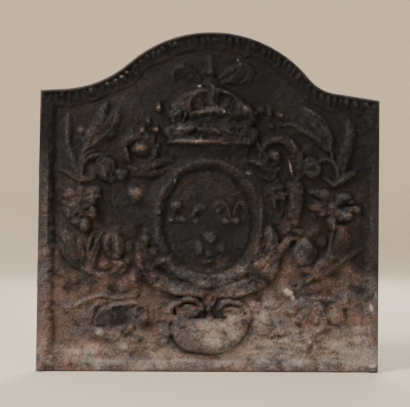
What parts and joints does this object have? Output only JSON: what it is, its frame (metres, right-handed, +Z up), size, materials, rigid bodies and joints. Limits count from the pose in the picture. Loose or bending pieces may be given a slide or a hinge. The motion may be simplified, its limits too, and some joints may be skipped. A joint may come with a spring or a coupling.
{
  "type": "fireback",
  "caption": "Arched cast-iron chimney plate with a beaded border, royal crown over an oval lily shield, scrolls, leaf sprays, flowers and a shell in relief.",
  "frame": {"origin": "middle of the board's lower edge, at the middle of the board's thickness", "axes": "+X to the right as seen from the carved side, +Y out of the plain back, +Z up; the carved side faces -Y"},
  "size_m": [0.516, 0.0298, 0.5129],
  "materials": {
    "sooty_iron": "matt, soot-blackened, pitted",
    "rubbed_iron": "matt, rubbed to a dull brown-grey on the raised parts",
    "rusty_iron": "matt, thin red-brown rust, rough",
    "ashy_iron": "matt, dusted with pale ash, rough"
  },
  "bodies": {
    "root": {"plate": "sooty_iron", "rim_top": "sooty_iron", "rim_left": "sooty_iron", "rim_right": "sooty_iron", "rim_bottom": "ashy_iron", "beads_top": "sooty_iron", "beads_left": "sooty_iron", "beads_right": "sooty_iron", "crown_neck": "rubbed_iron", "crown_circlet": "rubbed_iron", "crown_fleurons": "rubbed_iron", "crown_cap": "sooty_iron", "crown_arches": "rubbed_iron", "crown_finial": "rubbed_iron", "crown_petal_left": "sooty_iron", "crown_petal_right": "sooty_iron", "berries_left": "rubbed_iron", "berries_right": "rubbed_iron", "shield_field": "sooty_iron", "shield_ring": "rubbed_iron", "fleur_de_lis_left": "rubbed_iron", "fleur_de_lis_right": "rubbed_iron", "fleur_de_lis_bottom": "rubbed_iron", "volute_left": "rubbed_iron", "volute_right": "rubbed_iron", "collar_leaf_left": "rubbed_iron", "collar_leaf_right": "rubbed_iron", "wing_left": "sooty_iron", "wing_right": "sooty_iron", "wing_leaf_left": "rubbed_iron", "wing_leaf_right": "rubbed_iron", "husk_left": "rubbed_iron", "husk_right": "rubbed_iron", "strap_left": "rubbed_iron", "strap_right": "rubbed_iron", "spray_left": "sooty_iron", "spray_right": "sooty_iron", "bud_left": "rubbed_iron", "bud_right": "rubbed_iron", "flower_left": "rubbed_iron", "flower_right": "rubbed_iron", "low_spray_left": "rusty_iron", "low_spray_right": "rusty_iron", "low_bud_left": "rusty_iron", "low_bud_right": "rusty_iron", "scroll_left": "rusty_iron", "scroll_right": "rusty_iron", "shell": "ashy_iron", "shell_volute_left": "ashy_iron", "shell_volute_right": "ashy_iron", "shell_knob": "rusty_iron"}
  },
  "joints": []
}
